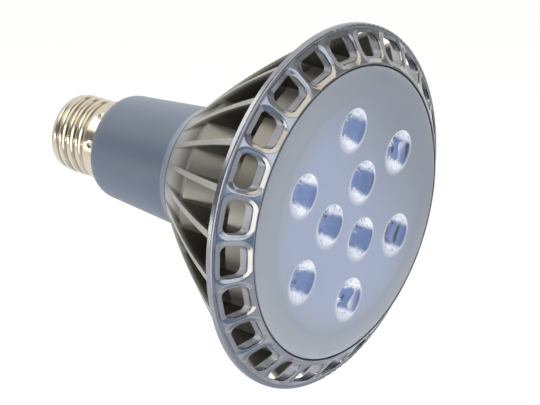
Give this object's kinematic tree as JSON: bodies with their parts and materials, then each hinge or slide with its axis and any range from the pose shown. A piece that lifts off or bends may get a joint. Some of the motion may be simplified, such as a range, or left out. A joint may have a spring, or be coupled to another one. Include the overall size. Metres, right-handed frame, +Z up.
{
  "type": "uv led bulb",
  "caption": "Reflector-shaped LED lamp with a screw cap, a plastic neck, a finned metal heat sink with a ring of vents, and a flat frosted lens over the emitters.",
  "frame": {"origin": "middle of the screw cap's contact tip, where the lamp seats in its holder", "axes": "+Z up; the lamp axis lies along Y, with the light towards -Y and the cap towards +Y"},
  "size_m": [0.121, 0.123, 0.121],
  "materials": {
    "cast_aluminium": "polished",
    "plate_aluminium": "satin",
    "nickel_plate": "polished",
    "contact_metal": "satin",
    "cap_glass": "gloss",
    "neck_plastic": "satin",
    "frosted_lens": "frosted",
    "seal_rubber": "matte",
    "emitter_body": "gloss",
    "blue_board": "satin",
    "pad_silicone": "matte",
    "green_board": "satin",
    "steel_screw": "satin",
    "ferrite": "matte",
    "capacitor_sleeve": "gloss",
    "film_coating": "gloss",
    "resistor_coating": "gloss",
    "chip_resin": "matte",
    "red_wire": "satin",
    "black_wire": "satin"
  },
  "bodies": {
    "root": {"heat_sink": "cast_aluminium", "led_plate": "plate_aluminium", "screw_shell": "nickel_plate", "centre_contact": "contact_metal", "cap_insulator": "cap_glass", "driver_housing": "neck_plastic", "lens_cover": "frosted_lens", "lens_gasket": "seal_rubber", "led_1": "emitter_body", "led_2": "emitter_body", "led_3": "emitter_body", "led_4": "emitter_body", "led_5": "emitter_body", "led_6": "emitter_body", "led_7": "emitter_body", "led_8": "emitter_body", "led_9": "emitter_body", "led_board": "blue_board", "thermal_pad": "pad_silicone", "driver_board": "green_board", "neck_screws": "steel_screw", "board_screws": "steel_screw", "transformer": "ferrite", "choke": "ferrite", "bulk_capacitor": "capacitor_sleeve", "output_capacitor": "capacitor_sleeve", "film_capacitor": "film_coating", "fuse_resistor": "resistor_coating", "bridge_rectifier": "chip_resin", "controller_chip": "chip_resin", "tip_lead": "red_wire", "led_lead_plus": "red_wire", "shell_lead": "black_wire", "led_lead_minus": "black_wire"}
  },
  "joints": []
}
